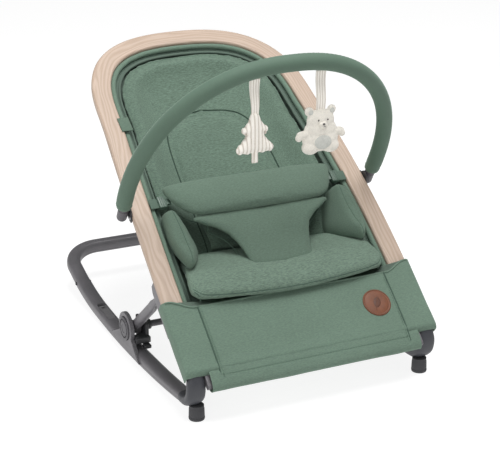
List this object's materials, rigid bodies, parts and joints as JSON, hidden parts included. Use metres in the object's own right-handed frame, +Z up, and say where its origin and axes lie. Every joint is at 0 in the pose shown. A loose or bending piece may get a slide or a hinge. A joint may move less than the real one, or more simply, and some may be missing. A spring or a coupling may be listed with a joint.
{
  "type": "bouncer seat",
  "caption": "Baby bouncer: reclining wood-rimmed padded seat on curved rocker rails, with waist belt, folding struts and a toy arch carrying hanging toys.",
  "frame": {"origin": "middle of the footprint, on the floor, with the seat upright and the front feet and rocker rails on the floor", "axes": "+Z up, +X across the seat to the right as seen from the foot end, -Y towards the foot end and +Y towards the head end"},
  "size_m": [0.5106, 0.703, 0.5715],
  "materials": {
    "oak": "pale oak veneer, satin",
    "grey_metal": "fine satin grey paint",
    "charcoal_plastic": "fine moulded texture",
    "grey_plastic": "satin moulded",
    "rubber": "matte",
    "steel": "plain steel",
    "sage_fabric": "fine melange weave",
    "sleeve_fabric": "smooth knit",
    "sage_plastic": "satin moulded",
    "leather": "embossed patch",
    "cream_fabric": "corduroy and plush"
  },
  "bodies": {
    "base": {"rail_left": "grey_metal", "rail_right": "grey_metal", "front_leg_left": "grey_metal", "front_leg_right": "grey_metal", "front_foot_left": "rubber", "front_foot_right": "rubber", "pivot_bolt_left": "steel", "pivot_bolt_right": "steel", "hub_housing_left": "charcoal_plastic", "hub_housing_right": "charcoal_plastic", "hub_pin_left": "steel", "hub_pin_right": "steel", "parking_pin_left": "steel", "parking_pin_right": "steel", "rear_tube": "grey_metal"},
    "recline_struts": {"strut_left": "grey_metal", "strut_right": "grey_metal", "cross_tube": "charcoal_plastic", "cross_tube_collar_left": "charcoal_plastic", "cross_tube_collar_right": "charcoal_plastic"},
    "seat": {"wood_rim": "oak", "seat_tube": "grey_metal", "front_tube": "grey_metal", "hammock": "sage_fabric", "foot_cover": "sage_fabric", "back_pad": "sage_fabric", "inlay_pad": "sage_fabric", "seat_pad": "sage_fabric", "waist_belt": "sage_fabric", "crotch_pad": "sage_fabric", "leather_badge": "leather", "side_tag": "sleeve_fabric", "frame_joint_left": "charcoal_plastic", "frame_joint_right": "charcoal_plastic", "strut_track_left": "charcoal_plastic", "strut_track_right": "charcoal_plastic", "arch_clip_left": "charcoal_plastic", "arch_clip_right": "charcoal_plastic", "side_wing_left": "sage_fabric", "side_wing_right": "sage_fabric", "buckle_socket_left": "sage_plastic", "buckle_socket_right": "sage_plastic", "side_strap_left": "sage_fabric", "side_strap_right": "sage_fabric"},
    "toy_arch": {"arch_core": "grey_metal", "arch_sleeve": "sleeve_fabric", "arch_cap_left": "grey_plastic", "arch_cap_right": "grey_plastic"},
    "tree": {"tree_ribbon": "cream_fabric", "tree_toy": "cream_fabric"},
    "bear": {"bear_ribbon": "cream_fabric", "bear_toy": "cream_fabric"},
    "parking_foot_left": {"parking_foot_left": "charcoal_plastic"},
    "hub_button_left": {"hub_button_left": "grey_plastic"},
    "fold_catch_left": {"fold_catch_left": "charcoal_plastic"},
    "buckle_tongue_left": {"buckle_tongue_left": "sage_plastic"},
    "parking_foot_right": {"parking_foot_right": "charcoal_plastic"},
    "hub_button_right": {"hub_button_right": "grey_plastic"},
    "fold_catch_right": {"fold_catch_right": "charcoal_plastic"},
    "buckle_tongue_right": {"buckle_tongue_right": "sage_plastic"}
  },
  "joints": [
    {"name": "seat_fold", "type": "hinge", "parent": "base", "child": "seat", "pos_m": [0, -0.31425, 0.0922], "axis": [1, 0, 0], "range_deg": [-27, 0]},
    {"name": "strut_swing", "type": "hinge", "parent": "base", "child": "recline_struts", "pos_m": [0, -0.04745, 0.056], "axis": [1, 0, 0], "range_deg": [0, 29.7]},
    {"name": "arch_swing", "type": "hinge", "parent": "seat", "child": "toy_arch", "pos_m": [0, -0.07425, 0.2875], "axis": [1, 0, 0], "range_deg": [-50, 35]},
    {"name": "tree_swing", "type": "hinge", "parent": "toy_arch", "child": "tree", "pos_m": [-0.06416, -0.228, 0.53685], "axis": [1, 0, 0], "range_deg": [-40, 40]},
    {"name": "bear_swing", "type": "hinge", "parent": "toy_arch", "child": "bear", "pos_m": [0.05616, -0.22886, 0.53858], "axis": [1, 0, 0], "range_deg": [-40, 40]},
    {"name": "parking_foot_left_flip", "type": "hinge", "parent": "base", "child": "parking_foot_left", "pos_m": [-0.2175, 0.12055, 0.0214], "axis": [1, 0, 0], "range_deg": [0, 30]},
    {"name": "hub_button_left_press", "type": "slide", "parent": "base", "child": "hub_button_left", "axis": [1, 0, 0], "range_m": [0, 0.002], "stiffness_N_per_m": 600},
    {"name": "fold_catch_left_press", "type": "slide", "parent": "base", "child": "fold_catch_left", "axis": [0, 1, 0], "range_m": [0, 0.003], "stiffness_N_per_m": 600},
    {"name": "buckle_left_release", "type": "slide", "parent": "seat", "child": "buckle_tongue_left", "axis": [1, 0, 0], "range_m": [0, 0.012]},
    {"name": "parking_foot_right_flip", "type": "hinge", "parent": "base", "child": "parking_foot_right", "pos_m": [0.2175, 0.12055, 0.0214], "axis": [1, 0, 0], "range_deg": [0, 30]},
    {"name": "hub_button_right_press", "type": "slide", "parent": "base", "child": "hub_button_right", "axis": [-1, 0, 0], "range_m": [0, 0.002], "stiffness_N_per_m": 600},
    {"name": "fold_catch_right_press", "type": "slide", "parent": "base", "child": "fold_catch_right", "axis": [0, 1, 0], "range_m": [0, 0.003], "stiffness_N_per_m": 600},
    {"name": "buckle_right_release", "type": "slide", "parent": "seat", "child": "buckle_tongue_right", "axis": [-1, 0, 0], "range_m": [0, 0.012]}
  ],
  "couplings": [
    {"joint": "strut_swing", "follows": "seat_fold", "ratio": -1.1}
  ]
}
